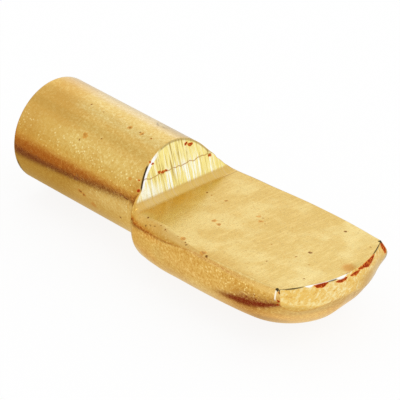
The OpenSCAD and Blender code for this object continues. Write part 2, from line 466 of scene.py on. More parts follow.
class OBJECT_OT_pin_surface(bpy.types.Operator):
    """Build the pin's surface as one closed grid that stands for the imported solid"""

    bl_idname = "object.pin_surface"
    bl_label = "Build the pin's surface"
    bl_options = {"REGISTER", "UNDO"}

    def execute(self, context):
        zones = PinForm(context.scene.pin_shape).rows()
        grid = np.concatenate(zones)
        zone = np.concatenate([np.full(len(rows), k) for k, rows in enumerate(zones)])[:, None]
        count, around = grid.shape[:2]
        column = np.arange(around)[None, :]
        into = np.minimum(column - AROUND, around - column) / IN_EDGE
        cut = np.clip(into, 0.0, 1.0) * np.ones((count, 1))
        grid = work_marks(grid, cut, zone)
        first_bend = (zone == BEND) * (np.cumsum(zone == BEND, axis=0) == 1)
        shear = (zone >= BEND) * np.ones((1, around)) - 0.5 * first_bend
        build(PIN, grid, {"step_face": cut * (zone == STEP), "seat": cut * (zone == HEAD), "shear": shear})
        return {"FINISHED"}


def build(name, grid, fields):
    """A closed mesh from rows of closed loops, with fields on its points.

    Points that coincide, at the poles and along the shank's top, are merged, and faces that this
    leaves without area are dropped.
    """
    rows, around = grid.shape[:2]
    flat = grid.reshape(-1, 3)
    key = np.round(flat / (1e-5 * MM)).astype(np.int64)
    _, first, back = np.unique(key, axis=0, return_index=True, return_inverse=True)
    index = back.reshape(rows, around)
    a, c = index[:-1], index[1:]
    b, d = np.roll(a, -1, 1), np.roll(c, -1, 1)
    faces = np.concatenate([np.stack(f, 2).reshape(-1, 3) for f in ((a, d, b), (a, c, d))])
    faces = faces[(faces != np.roll(faces, 1, 1)).all(1)]
    mesh = bpy.data.meshes.new(name)
    mesh.from_pydata(flat[first], [], faces)
    mesh.shade_smooth()
    for label, values in fields.items():
        layer = mesh.attributes.new(label, "FLOAT", "POINT")
        most = np.zeros(len(first))
        np.maximum.at(most, back.ravel(), values.ravel())
        layer.data.foreach_set("value", most)
    if mesh.validate():
        raise RuntimeError(f"{name}: the mesh had faults that Blender mended")
    piece = show(name, mesh)
    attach(piece, BODY)
    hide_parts(CAD_NODE)


def show(name, data):
    """A new object in the scene, for a mesh, a lamp or a camera."""
    item = bpy.data.objects.new(name, data)
    bpy.context.scene.collection.objects.link(item)
    return item


def finish_for(item, name):
    """The node tree of a new material on an object."""
    material = bpy.data.materials.new(name)
    material.use_nodes = True
    item.data.materials.append(material)
    return material.node_tree


class Wire:
    """A shader socket that takes part in sums and products as a value does."""

    def __init__(self, sheet, socket):
        self.sheet = sheet
        self.socket = socket

    @property
    def is_vector(self):
        return self.socket.type in ("VECTOR", "RGBA")

    def _pair(self, kind, other, flip=False):
        """Both put through one Math node, or through Vector Math where either is a vector or a colour."""
        a, b = (other, self) if flip else (self, other)
        wide = any(w.is_vector if isinstance(w, Wire) else isinstance(w, (tuple, list)) for w in (a, b))
        if not wide:
            return self.sheet.node("Math", {0: a, 1: b}, operation=kind)
        return self.sheet.node("VectorMath", {0: self.sheet.wide(a), 1: self.sheet.wide(b)}, operation=kind)

    __add__ = __radd__ = partialmethod(_pair, "ADD")
    __sub__ = partialmethod(_pair, "SUBTRACT")
    __rsub__ = partialmethod(_pair, "SUBTRACT", flip=True)
    __mul__ = __rmul__ = partialmethod(_pair, "MULTIPLY")
    __abs__ = partialmethod(_pair, "ABSOLUTE", 0.0)
    least = partialmethod(_pair, "MINIMUM")
    most = partialmethod(_pair, "MAXIMUM")

    def ramp(self, low, high):
        """Smooth step from 0 at low to 1 at high; low may be the larger."""
        flip = low > high
        low, high = min(low, high), max(low, high)
        sizes = {"From Min": low, "From Max": high, "To Min": float(flip), "To Max": float(not flip)}
        return self.sheet.node("MapRange", {"Value": self, **sizes}, interpolation_type="SMOOTHSTEP")

    def span(self, low, full, end, gone):
        """Smooth mound: up from 0 at low to 1 at full, and down from 1 at end to 0 at gone."""
        return self.ramp(low, full) * self.ramp(gone, end)

    def parts(self):
        """x, y and z on their own."""
        node = self.sheet.node("SeparateXYZ", {0: self}).socket.node
        return [Wire(self.sheet, out) for out in node.outputs]


class Sheet:
    """A node tree that is written as expressions of Wire."""

    def __init__(self, tree):
        self.tree = tree
        tree.nodes.clear()

    def feed(self, socket, value):
        """Links a Wire to the socket, or sets a plain value on it."""
        if isinstance(value, Wire):
            self.tree.links.new(value.socket, socket)
        elif socket.type == "RGBA" and len(value) == 3:
            socket.default_value = (*value, 1.0)
        else:
            socket.default_value = value

    def node(self, kind, inputs=(), out=0, **settings):
        """Any shader node: its settings first, then its sockets' values or links."""
        made = self.tree.nodes.new("ShaderNode" + kind)
        for key, value in settings.items():
            setattr(made, key, value)
        for key, value in dict(inputs).items():
            self.feed(made.inputs[key], value)
        return Wire(self, made.outputs[out]) if len(made.outputs) else made

    def wide(self, value):
        """A value as three equal parts, for vector maths."""
        if isinstance(value, Wire):
            return value if value.is_vector else self.vector(value, value, value)
        return tuple(value) if isinstance(value, (tuple, list)) else (value,) * 3

    def vector(self, x, y, z):
        """A vector from three values."""
        return self.node("CombineXYZ", {0: x, 1: y, 2: z})

    def mix(self, a, b, factor):
        """Colour a where the factor is 0, colour b where it is 1."""
        return self.node("Mix", {0: factor, 6: a, 7: b}, out=2, data_type="RGBA", clamp_factor=True)

    def paint(self, tone, *layers):
        """Colours laid over a tone in order, each as (colour, mask)."""
        for colour, mask in layers:
            tone = self.mix(tone, colour, mask)
        return tone

    def tint(self, tone, *layers):
        """A tone multiplied by colours in order, each as (factors, mask)."""
        for factors, mask in layers:
            tone = tone * self.mix(WHITE, factors, mask)
        return tone

    def apart(self, kind, a, b=(0.0, 0.0, 0.0)):
        """A number from two vectors, such as their distance."""
        return self.node("VectorMath", {0: a, 1: b}, out=1, operation=kind)

    def noise(self, at, scale, detail=2.0, rough=0.5):
        """Noise of about 0.5, at so many cells per unit of the vector."""
        return self.node("TexNoise", {"Vector": at, "Scale": scale, "Detail": detail, "Roughness": rough})

    def field(self, name):
        """A number kept on the mesh's points."""
        return self.node("Attribute", out=2, attribute_name=name)

    def near(self, at, point, radius):
        """1 at the point, falling smoothly to 0 at the radius."""
        return self.apart("DISTANCE", at, point).ramp(radius, 0.35 * radius)

    def nearest(self, at, marks, flat=1.0):
        """The strongest of several marks, each (x, y, z, radius, strength); flat squeezes them along Z."""
        at = at * (1.0, 1.0, flat)
        total = None
        for x, y, z, radius, strength in marks:
            spot = self.near(at, (x, y, z * flat), radius) * strength
            total = spot if total is None else total.most(spot)
        return total


# Marks in millimetres on the part: x, y, z, radius, strength
STEP_RUST = (
    (1.36, -1.93, 2.52, 0.15, 0.8),
    (1.43, -1.74, 2.38, 0.14, 0.9),
    (1.60, -1.38, 1.84, 0.17, 0.9),
    (1.64, -1.12, 1.77, 0.22, 1.0),
    (1.66, -0.86, 1.76, 0.17, 0.8),
    (1.34, 1.28, 2.60, 0.28, 1.0),
    (1.30, 0.98, 2.74, 0.20, 0.8),
    (1.71, 2.56, 1.56, 0.18, 0.8),
    (1.33, -2.73, 1.63, 0.12, 0.7),
    (1.62, -2.95, 1.17, 0.20, 1.0),
)
PITS = (
    (11.53, 3.53, 0.63, 0.13, 1.0),
    (11.86, 0.24, 0.64, 0.12, 0.9),
    (11.67, -0.67, 0.64, 0.09, 0.7),
    (12.74, -0.79, 0.67, 0.09, 0.8),
    (11.00, -2.28, 0.62, 0.09, 0.8),
    (13.67, 3.21, 0.69, 0.10, 0.7),
    (13.62, -2.14, 0.69, 0.09, 0.7),
    (9.84, -0.70, 0.58, 0.09, 0.6),
    (7.45, 1.12, 0.51, 0.08, 0.7),
    (7.94, 0.79, 0.53, 0.08, 0.6),
    (4.61, 1.08, 0.43, 0.09, 0.8),
    (3.64, 0.88, 0.41, 0.09, 0.6),
    (3.24, 0.97, 0.39, 0.11, 0.8),
    (6.58, -4.12, 0.49, 0.10, 0.8),
    (5.80, -3.96, 0.47, 0.10, 0.8),
    (8.40, -4.35, 0.51, 0.14, 1.0),
    (3.15, -3.68, 0.39, 0.10, 0.9),
    (3.58, -4.08, 0.40, 0.10, 0.8),
    (4.28, -3.79, 0.42, 0.09, 0.8),
    (4.81, -3.89, 0.44, 0.10, 0.8),
    (-3.81, -2.47, 1.99, 0.10, 0.7),
    (-2.45, -2.00, 2.47, 0.09, 0.7),
    (-4.93, -0.50, 3.14, 0.09, 0.7),
    (-3.83, -0.63, 3.11, 0.09, 0.7),
    (-0.54, -0.70, 3.10, 0.10, 0.8),
    (-0.78, -0.67, 3.10, 0.08, 0.8),
    (0.13, -0.66, 3.11, 0.09, 0.8),
    (0.30, -2.97, -1.13, 0.12, 0.8),
    (-2.15, -2.19, -2.30, 0.12, 0.7),
    (-2.92, -3.10, -0.80, 0.14, 0.8),
    (-2.66, -3.04, -0.92, 0.12, 0.7),
)
FRECKLES = (
    (6.33, -1.25, 0.48, 0.20, 0.9),
    (5.83, -1.12, 0.47, 0.26, 0.6),
    (7.13, 1.10, 0.51, 0.22, 0.5),
    (7.59, 0.75, 0.52, 0.20, 0.6),
    (6.17, -3.90, 0.48, 0.26, 0.7),
    (8.00, -4.21, 0.53, 0.26, 0.8),
    (4.61, 1.08, 0.43, 0.16, 0.7),
    (-3.59, -2.23, 2.26, 0.24, 0.9),
    (-1.56, -0.67, 3.10, 0.24, 1.0),
    (-0.60, -0.68, 3.10, 0.20, 0.8),
    (0.13, -0.66, 3.11, 0.15, 0.7),
    (-2.92, -3.10, -0.80, 0.24, 0.9),
    (-2.62, -3.03, -0.90, 0.20, 0.8),
    (-1.95, -2.89, -1.33, 0.34, 0.55),
    (0.73, -2.80, 1.50, 0.16, 0.8),
)
TIP_RUST = (
    (13.76, 4.12, 0.50, 0.30, 0.9),
    (13.82, 4.24, 0.25, 0.28, 0.9),
    (13.90, 3.93, -0.13, 0.12, 1.0),
    (13.62, -4.04, 0.50, 0.10, 0.8),
    (13.66, -4.08, 0.02, 0.12, 0.9),
    (13.60, -4.06, -0.22, 0.11, 0.8),
)
# Rust strips under the tip's top edge: middle and half length along y, start and depth below the edge
TIP_STRIPS = (
    (-1.80, 0.46, 0.02, 0.22),
    (-0.42, 0.52, 0.13, 0.16),
    (0.72, 0.50, 0.15, 0.15),
    (1.32, 0.40, 0.06, 0.12),
    (2.08, 0.86, 0.03, 0.27),
)
# Painted highlights in strips on the tip's top edge, in the same way
TIP_GLINTS = (
    (-2.50, 0.27, -0.03, 0.10),
    (-0.40, 0.46, -0.04, 0.15),
)
# Dark lines on the tip's top edge, in the same way, and the dark marks that end them
TIP_LINES = (
    (-3.42, 0.72, -0.02, 0.080),
    (-1.05, 0.42, 0.01, 0.040),
    (3.40, 0.84, -0.02, 0.070),
)
TIP_DARK = (
    (13.48, -4.06, 0.66, 0.17, 1.0),
    (13.55, 4.12, 0.66, 0.20, 1.0),
)

# Further colours of the finish, linear
WHITE = (1.0, 1.0, 1.0)
# Painted sheen on the top of the near flank
FLANK_SHEEN = (0.96, 0.77, 0.36)
# Painted glint on the plating's bright facets
SPARK_GLINT = (1.0, 0.82, 0.38)
DOT = (0.44, 0.29, 0.10)
# Painted shade: the seat's darker, warmer gold under the step
UNDER_STEP_SHADE = (0.66, 0.37, 0.050)
# White of the step's streaks, and of its painted highlights
STEP_WHITE = (1.0, 1.0, 0.84)
STEP_OLIVE = (0.44, 0.27, 0.05)
STEP_BROWN = (0.40, 0.25, 0.07)
# Painted highlight on the step's near rim
STEP_RIM_GLINT = (1.0, 1.0, 0.98)
SEAT_PALE = (0.74, 0.56, 0.205)
# Painted shade along the seat's far edge
SEAT_EDGE_SHADE = (0.30, 0.18, 0.05)
SHEAR_PALE = (1.0, 0.90, 0.50)
# Painted highlight along the foot of the sheared face
SHEAR_FOOT_GLINT = (1.0, 0.86, 0.42)
# Painted glints on the tip's edges
GLINT_WHITE = (1.0, 1.0, 0.97)
STAIN = (0.60, 0.25, 0.030)
BROWN = (0.20, 0.085, 0.016)
FRECKLE = (0.68, 0.31, 0.050)
FRECKLE_CORE = (0.36, 0.17, 0.040)
SMEAR_RING = (0.24, 0.18, 0.10)
SMEAR_PALE = (0.84, 0.74, 0.50)
CRACK = (0.44, 0.17, 0.020)
RUST_PALE = (0.86, 0.30, 0.035)
# Near-black of dark lines, and of the painted shadow by the step
NEAR_BLACK = (0.022, 0.014, 0.010)


class OBJECT_OT_pin_finish(bpy.types.Operator):
    """Give the pin its plating, burnished step, pressed seat, sheared tip and rust"""

    bl_idname = "object.pin_finish"
    bl_label = "Finish the pin"
    bl_options = {"REGISTER", "UNDO"}

    def execute(self, context):
        piece = bpy.data.objects.get(PIN)
        if piece is None:
            raise RuntimeError("build the pin's surface before its finish")
        plating(PinSheet(finish_for(piece, "pin_finish"), context.scene.pin_finish))
        return {"FINISHED"}


class PinSheet(Sheet):
    """The pin's own sheet: values in PinFinish, places in millimetres, zones of the mesh, shared noises."""

    def __init__(self, tree, s):
        super().__init__(tree)
        self.s = s
        self.at = at = self.node("TexCoord", out=3) * (1.0 / MM)
        self.x, self.y, self.z = x, y, z = at.parts()
        self.off_axis = self.apart("LENGTH", self.vector(0.0, y, z))
        self.turn = self.node("Math", {0: y, 1: z}, operation="ARCTAN2") * math.degrees(1.0)
        self.below = TIP_TOP - z
        self.seat, self.shear = self.field("seat"), self.field("shear")
        self.step = self.field("step_face").ramp(0.55, 1.0)
        self.hollow = z.ramp(0.80, 0.62)
        self.outside = (1.0 - self.seat) * (1.0 - self.shear)
        self.shank = x.ramp(1.5, 0.8) * (1.0 - self.step) * self.off_axis.ramp(2.7, 3.05)
        self.seat_rim = self.seat * (1.0 - self.seat) * 4.0
        self.near_rim = self.seat_rim * y.ramp(0.0, -1.0)
        self.tip_rim = self.shear * (1.0 - self.shear) * 4.0
        self.past_tear = self.below - (y * y * -0.045 + 1.62)
        worn = self.past_tear.ramp(-0.20, 0.1).most(y.ramp(0.2, 2.0) * self.below.ramp(0.35, 0.8))
        self.rough_cut = self.shear * (1.0 - worn)
        self.fleck = self.noise(at, 6.5, s.detail, 0.65)
        self.grain = self.noise(at, 9.0, 3.0, 0.65)
        self.streak = self.noise(self.vector(x * 6.0, y * 0.8, 0.0), 1.0, 3.0, 0.6)
        self.drag = self.noise(self.vector(y * 6.0, z * 0.4, 3.1), 1.0, 4.0, 0.65)
        self.lines = self.noise(self.vector(y * 17.0, z * 0.5, 7.7), 1.0, 2.0, 0.5)
        self.drawn = self.noise(self.vector(y * 4.4 - z * 2.6, z * 4.4 + y * 0.8, x * 0.4), 1.0, 5.0, 0.72)
        self.wave = self.noise(self.vector(y * 2.4, self.below * 2.0, 2.0), 1.0, 4.0, 0.6)
        jitter = self.node("TexNoise", {"Vector": at, "Scale": 4.0, "Detail": 3.0}, out=1) - 0.5
        self.ragged = at + jitter * 0.30
        self.torn_about = at + jitter * 0.54


def brass(pin):
    """The plating: gold with broad orange clouds, small bright and dull flecks, and one orange stain."""
    return pin.paint(
        pin.s.gold,
        (pin.s.orange_gold, pin.noise(pin.at, 0.35, 2.0).ramp(0.50, 0.72) * 0.6),
        (pin.s.pale_gold, pin.fleck.ramp(0.51, 0.66) * 0.45),
        (pin.s.orange_gold, pin.fleck.ramp(0.49, 0.36) * 0.5),
        (pin.s.orange_gold, pin.near(pin.at, (-6.9, -1.9, 2.5), 3.0) * 0.55),
    )


def pressed_seat(pin):
    """The seat: pale clouds with faint streaks across them, dull grains, and painted shade in a warm reach by
    the hollow.
    """
    shade_by_hollow = pin.x.ramp(4.1, 2.8) * pin.y.ramp(1.6, -0.3) * pin.y.ramp(-3.7, -2.9)
    return pin.paint(
        pin.s.seat_gold,
        (SEAT_PALE, pin.noise(pin.at, 0.5, 2.0).ramp(0.42, 0.60)),
        (pin.s.pale_gold, pin.streak.ramp(0.45, 0.66) * 0.3),
        (pin.s.orange_gold, pin.noise(pin.at, 9.0, 3.0, 0.7).ramp(0.46, 0.34) * 0.5),
        # painted shade on the seat by the hollow, under the step
        (UNDER_STEP_SHADE, shade_by_hollow * 0.85),
    )


def burnished_step(pin):
    """The step: drawn down by the press, with painted highlights that make it whiter low down and light its
    near rim, and gold in the hollow.
    """
    y, z, drag, lines = pin.y, pin.z, pin.drag, pin.lines
    olive = (drag.ramp(0.44, 0.36) + lines.ramp(0.41, 0.33) * 0.9).least(0.9)
    line = pin.off_axis.ramp(3.04, 3.09) * z.ramp(1.6, 1.9) * y.ramp(-1.2, -0.9)
    rim_glint = (pin.off_axis + (z - 1.2) * 0.05).ramp(2.99, 3.06) * y.ramp(-1.0, -1.7) * z.ramp(1.0, 1.4)
    return pin.paint(
        pin.s.step_yellow,
        # the press's streaks, with a painted highlight that makes them whiter low down
        (STEP_WHITE, drag.ramp(0.50, 0.60) * (z.ramp(2.3, 1.3) * 0.75 + 0.3)),
        (STEP_WHITE, lines.ramp(0.57, 0.67) * 0.7),
        (STEP_OLIVE, olive * (z.ramp(1.1, 2.0) * 0.55 + 0.45)),
        # painted highlight: a white patch low down on the near side
        (STEP_WHITE, z.ramp(1.6, 1.0) * y.ramp(-0.9, -2.2) * drag.ramp(0.36, 0.48) * 0.8),
        (pin.s.gold, pin.hollow * 0.9),
        (STEP_BROWN, line * 0.7),
        # painted highlight along the step's near rim
        (STEP_RIM_GLINT, rim_glint),
    )


def sheared_tip(pin):
    """The sheared face: gold drawn down in streaks over paler and duller metal, with a painted highlight
    along its foot.
    """
    y, drawn = pin.y, pin.drawn
    # painted highlight along the foot of the sheared face
    foot = pin.past_tear.span(-0.46, -0.34, -0.22, -0.10) * y.ramp(1.2, 0.0) * drawn.ramp(0.38, 0.54)
    return pin.paint(
        pin.s.shear_gold,
        (SHEAR_PALE, drawn.ramp(0.50, 0.62) * (y.ramp(-3.2, -1.5) * 0.25 + 0.5)),
        (STAIN, drawn.ramp(0.44, 0.33) * 0.55),
        (SHEAR_PALE, pin.near(pin.at, (14.9, -0.9, 0.10), 1.3) * drawn.ramp(0.36, 0.56) * 0.35),
        # painted highlight along the foot
        (SHEAR_FOOT_GLINT, foot * 0.55),
    )


def sparkle(pin, tone):
    """Cells of the plating: some have a facet tilted towards the light and painted paler as a glint, and some
    on the seat a dull dot.

    It gives the tone with them, the share of bright facet and the height of its slope.
    """
    z = pin.z
    cell_at = pin.at * 7.5
    cell = pin.node("TexVoronoi", {"Vector": cell_at, "Scale": 1.0}, out=1)
    middle = Wire(pin, cell.socket.node.outputs["Position"])
    pick, pick_dot, _ = cell.parts()
    spread = pin.apart("DISTANCE", cell_at, middle)
    zone = pin.noise(pin.at, 0.8, 1.0).ramp(0.38, 0.52) * z.ramp(2.6, 1.4) * z.ramp(-0.9, 0.0)
    zone = zone.most(pin.near(pin.at, (1.2, -2.9, 1.3), 1.3)).most(pin.near(pin.at, (11.6, -4.3, 0.2), 2.6))
    zone = zone * pin.outside * (1.0 - pin.step) + pin.seat * 0.2 + pin.rough_cut * 0.6
    glitter = pin.near(pin.at, (11.4, -4.3, 0.1), 2.8) * (1.0 - pin.seat)
    spark = (pick.ramp(0.72, 0.84) * zone).most(pick.ramp(0.60, 0.72) * glitter)
    tone = pin.paint(
        tone,
        # painted glint: bright facets get a paler colour
        (SPARK_GLINT, spark * spread.ramp(0.55, 0.15) * (glitter * 0.2 + 0.8)),
        (DOT, pick_dot.ramp(0.74, 0.86) * spread.ramp(0.48, 0.22) * pin.seat * 0.42),
    )
    return tone, spark, pin.apart("DOT_PRODUCT", cell_at - middle, cell - 0.5)


def shank_sheen_bands(pin, tone):
    """Painted sheen and painted dark reflections in bands along the shank, by the angle round it from its top
    in degrees.
    """
    x, turn = pin.x, pin.turn
    # paler bands are painted sheen, darker ones painted dark reflections
    bands = (
        ((1.05, 1.18, 1.55), turn.span(-25, -16, 28, 36) * x.ramp(-6.8, -5.0)),
        ((1.04, 1.11, 1.70), turn.span(2, 12, 26, 34)),
        ((0.92, 0.92, 0.88), turn.span(-42, -36, -32, -26)),
        ((1.07, 1.15, 1.28), turn.span(-84, -74, -50, -41) * x.ramp(-7.6, -6.4)),
        ((0.99, 0.98, 0.90), turn.span(-178, -150, -124, -95)),
        ((1.06, 1.12, 1.30), turn.span(-150, -125, -94, -84) * x.ramp(-3.0, -0.6)),
    )
    return pin.tint(tone, *((factors, mask * pin.shank) for factors, mask in bands))


def head_reaches(pin, tone):
    """Stronger flecks on the head's flank, and painted sheen and shade: a paler flank top, a darker crease
    and seat rims, and reaches of the head made paler or darker.
    """
    x, y, z, seat = pin.x, pin.y, pin.z, pin.seat
    side = x.ramp(2.0, 4.0) * pin.outside * (1.0 - pin.step)
    # painted shade along the crease under the neck, on the near side
    crease_shade = abs(z + (x - 2.2) * 0.11 + 0.03).ramp(0.20, 0.04) * x.span(1.7, 2.3, 3.4, 5.6)
    # painted sheen: a paler band along the top of the near flank
    flank_top_sheen = pin.outside * z.ramp(0.12, 0.38) * y.ramp(-3.5, -3.8) * x.ramp(4.2, 5.8)
    flank, under_tip = y.ramp(-2.5, -3.2), y.ramp(-1.5, -2.5)
    tone = pin.tint(
        tone,
        ((1.07, 1.10, 1.22), side * pin.fleck.ramp(0.54, 0.64)),
        ((0.92, 0.87, 0.76), side * pin.fleck.ramp(0.47, 0.37)),
    )
    tone = pin.paint(
        tone,
        (FLANK_SHEEN, flank_top_sheen * 0.5),
        # painted shade in the neck's crease
        (STAIN, crease_shade * y.ramp(-3.0, -3.6) * pin.fleck.ramp(0.62, 0.45) * 0.75),
        # painted shade: a darker gold line along the seat's near rim
        (pin.s.orange_gold, pin.near_rim * x.span(3.2, 4.5, 7.0, 9.0) * 0.5),
        # painted shade: a dark line along the seat's far edge
        (SEAT_EDGE_SHADE, pin.seat_rim * y.ramp(2.6, 3.4) * 0.6),
    )
    # painted sheen and shade: reaches of the head made paler or darker
    return pin.tint(
        tone,
        ((0.93, 0.87, 0.74), seat * y.ramp(-3.5, -4.1) * x.ramp(7.2, 8.6)),
        ((1.04, 1.08, 1.18), seat * y.ramp(-3.6, -3.0) * x.ramp(8.5, 12.5)),
        ((1.00, 0.90, 0.74), x.span(2.2, 2.8, 3.8, 4.8) * y.ramp(-3.5, -3.9)),
        ((0.99, 0.92, 0.74), x.span(1.2, 1.8, 2.4, 3.2) * y.ramp(-2.6, -3.2) * z.ramp(-1.2, -0.6)),
        ((1.03, 1.04, 1.22), x.span(2.5, 4.0, 10.5, 12.0) * z.ramp(-2.0, -2.6) * y.ramp(-1.0, -2.0)),
        ((1.10, 1.20, 1.65), x.span(6.0, 7.8, 9.9, 10.9) * abs(z + 1.65).ramp(0.55, 0.15) * flank),
        ((1.02, 1.14, 1.45), x.span(2.4, 3.1, 4.2, 5.4) * abs(z + 1.0).ramp(0.65, 0.20) * flank),
        ((0.80, 0.76, 0.68), x.span(10.9, 11.6, 12.7, 13.4) * abs(z + 2.25).ramp(0.55, 0.20) * under_tip),
        ((1.30, 1.26, 1.14), x.ramp(11.8, 13.2) * z.ramp(-1.0, -1.6) * (1.0 - pin.rough_cut)),
    )


def blemishes(pin, tone):
    """A stain, freckles, crumbs along the seat's rim, a ring-shaped smear, a darker reach of the shank by the
    step, and a near-black line on the rear edge.
    """
    x, turn, grain = pin.x, pin.turn, pin.grain
    stain = pin.near(pin.ragged, (14.45, 0.66, 0.70), 0.62) * pin.seat
    smear = pin.near(pin.torn_about, (-0.75, 1.15, 2.96), 0.55)
    ring = smear.span(0.05, 0.40, 0.5, 0.95) * (grain.ramp(0.40, 0.56) * 0.7 + 0.3)
    heel = x.ramp(-8.20, -8.30) * turn.span(-138, -126, -113, -108) * pin.off_axis.ramp(2.98, 3.08)
    freckles = pin.nearest(pin.ragged, FRECKLES)
    crumbs = pin.near_rim.ramp(0.72, 0.97) * x.ramp(2.4, 3.2)
    crumbs = crumbs * pin.noise(pin.at, 5.0, 3.0, 0.7).ramp(0.60, 0.65)
    tone = pin.paint(
        tone,
        (STAIN, stain * 0.7),
        (SMEAR_RING, ring * 0.75),
        (SMEAR_PALE, smear.ramp(0.8, 1.0) * 0.6),
    )
    # darker towards the shank's top on the +Y side, next to the step
    tone = pin.tint(tone, ((0.80, 0.74, 0.62), pin.shank * x.ramp(-1.6, -0.4) * turn.ramp(9, 16)))
    tone = pin.paint(
        tone,
        # a near-black line along the rear edge, low on the near side
        (NEAR_BLACK, heel * 0.6),
        (FRECKLE, freckles.ramp(0.1, 0.6) * 0.8),
        (BROWN, freckles.ramp(0.80, 1.0) * grain.ramp(0.40, 0.5) * 0.7),
        (FRECKLE_CORE, freckles.ramp(0.35, 0.65) * grain.ramp(0.53, 0.46) * pin.seat * 0.75),
        (BROWN, crumbs * x.ramp(9.6, 8.0) * 0.75),
    )
    return tone, freckles.most(crumbs)


def lenses(pin, table, uneven):
    """Lens-shaped strips along the tip's top edge: their depth is a parabola of y, made uneven by a wave."""
    total = None
    for middle, half, start, deep in table:
        off = (pin.y - middle) * (1.0 / half)
        bow = 1.0 - off * off
        under = pin.below - start
        lens = (bow * deep + (pin.wave - 0.5) * uneven - under).ramp(-0.02, 0.06) * bow.ramp(0.0, 0.15)
        lens = lens * (under + bow * 0.04).ramp(-0.05, 0.02)
        total = lens if total is None else total.most(lens)
    return total


def rust_lines_and_glints(pin, tone):
    """Pits, rust, the step's hairline crack, dark lines, a painted shadow beside the step's near edge, and
    painted glints on the tip's edges.

    It gives the tone with them, and the masks of rust, the dark lines with that painted shadow, pits and
    crack.
    """
    x, y, z, below, grain = pin.x, pin.y, pin.z, pin.below, pin.grain
    pits = pin.nearest(pin.ragged, PITS)
    wander = pin.noise(pin.vector(y * 1.3, 0.0, 5.0), 1.0, 3.0) * 0.55
    crack = abs(z - (1.44 + wander)).ramp(0.045, 0.015) * pin.step * pin.drag.ramp(0.30, 0.5) * 0.8
    strip = lenses(pin, TIP_STRIPS, 0.25) * pin.shear.ramp(0.2, 0.5) * (grain.ramp(0.34, 0.48) * 0.4 + 0.6)
    rust = pin.nearest(pin.ragged, STEP_RUST, 1.8).ramp(0.05, 0.75)
    rust = rust.most(strip).most(pin.nearest(pin.ragged, TIP_RUST).ramp(0.1, 0.7))

    # painted shadow: a dark line beside the step's near edge
    step_shadow = (x + z * STEP_LEAN).span(2.12, 2.20, 2.26, 2.33) * (1.0 - pin.step) * y.ramp(-2.0, -2.2)
    step_shadow = step_shadow * z.span(1.15, 1.4, 2.35, 2.55)
    tip_brow = pin.tip_rim * below.ramp(0.30, 0.18)
    dark_lines_and_shadow = (tip_brow * y.ramp(-2.7, -2.9).most(y.ramp(2.7, 2.85))).most(step_shadow)
    dark_lines_and_shadow = dark_lines_and_shadow.most(lenses(pin, TIP_LINES, 0.03) * pin.shear.ramp(0.1, 0.4))
    dark_lines_and_shadow = dark_lines_and_shadow.most(pin.nearest(pin.ragged, TIP_DARK).ramp(0.3, 0.6))

    corner = (1.0 - pin.shear) * x.span(13.36, 13.39, 13.46, 13.50) * y.ramp(-3.6, -3.9)
    corner = corner * z.span(-0.1, 0.1, 0.54, 0.60)
    # painted glints: white along the tip's top edge, in strips and at its near corner
    glint = tip_brow * y.span(-2.8, -2.6, 0.0, 0.3) * (1.0 - rust * 0.7)
    glint = glint.least(0.6).most(lenses(pin, TIP_GLINTS, 0.10) * pin.shear.ramp(0.1, 0.3)).most(corner)
    tone = pin.paint(
        tone,
        (STAIN, pits.ramp(0.0, 0.4) * 0.5),
        (BROWN, pits.ramp(0.3, 0.8) * 0.9),
        (RUST_PALE, rust.ramp(0.0, 0.5)),
        (pin.s.rust, rust.ramp(0.45, 0.9) * grain.ramp(0.36, 0.50)),
        (CRACK, crack * 0.9),
        # dark lines, with the painted shadow by the step
        (NEAR_BLACK, dark_lines_and_shadow * 0.9),
        # painted glints on the tip's edges
        (GLINT_WHITE, glint),
        (STAIN, pin.tip_rim * below.ramp(0.35, 0.5) * y.ramp(-0.6, -1.4) * 0.6),
    )
    return tone, rust, dark_lines_and_shadow, pits, crack


def plating(pin):
    """One metal that is tinted and roughened by zone, with rust as a dull stain over it."""
    s = pin.s
    tone = pin.paint(
        brass(pin),
        (pressed_seat(pin), pin.seat),
        (burnished_step(pin), pin.step),
        (sheared_tip(pin), pin.rough_cut),
    )
    tone, spark, slope = sparkle(pin, tone)
    # painted sheen and shade by place, on the shank and on the head
    tone = head_reaches(pin, shank_sheen_bands(pin, tone))
    tone, specks = blemishes(pin, tone)
    tone, rust, dark_lines_and_shadow, pits, crack = rust_lines_and_glints(pin, tone)

    rough = s.roughness + (pin.fleck - 0.5) * 0.25 + pin.hollow * pin.step * 0.16
    for own, zone in (
        (s.seat_roughness, pin.seat),
        (s.step_roughness, pin.step),
        (s.shear_roughness, pin.rough_cut),
    ):
        rough = rough + (own - s.roughness) * zone
    rough = (rough + rust.most(dark_lines_and_shadow) * 0.45 - spark * 0.1).least(0.95).most(0.08)

    peel = pin.noise(pin.at, 3.6, s.detail, 0.6) * 0.9 + pin.noise(pin.at, 11.0, 2.0, 0.5) * 0.35
    height = peel * (1.0 - pin.step * 0.85) * (1.0 - pin.seat * 0.6)
    height = height + pin.seat * pin.streak * 0.15 + pin.step * (pin.drag * 0.5 + pin.lines * 0.15)
    height = height + pin.rough_cut * pin.drawn * 0.9 + slope * spark * 1.5
    height = height - pits * 0.9 - dark_lines_and_shadow * 0.4 + rust * pin.grain * 0.8
    normal = pin.node("Bump", {"Strength": 1.0, "Distance": s.peel, "Height": height})
    bare = rust.most(dark_lines_and_shadow).most(pits).most(specks).most(crack)
    shader = pin.node(
        "BsdfPrincipled",
        {
            "Base Color": tone,
            "Metallic": 1.0 - rust * 0.1,
            "Roughness": rough,
            "Normal": normal,
            "Coat Weight": 0.25 - bare * 0.25,
            "Specular Tint": (0.88, 0.84, 0.74, 1.0),
            "Coat Roughness": 0.25,
        },
    )
    pin.node("OutputMaterial", {"Surface": shader})


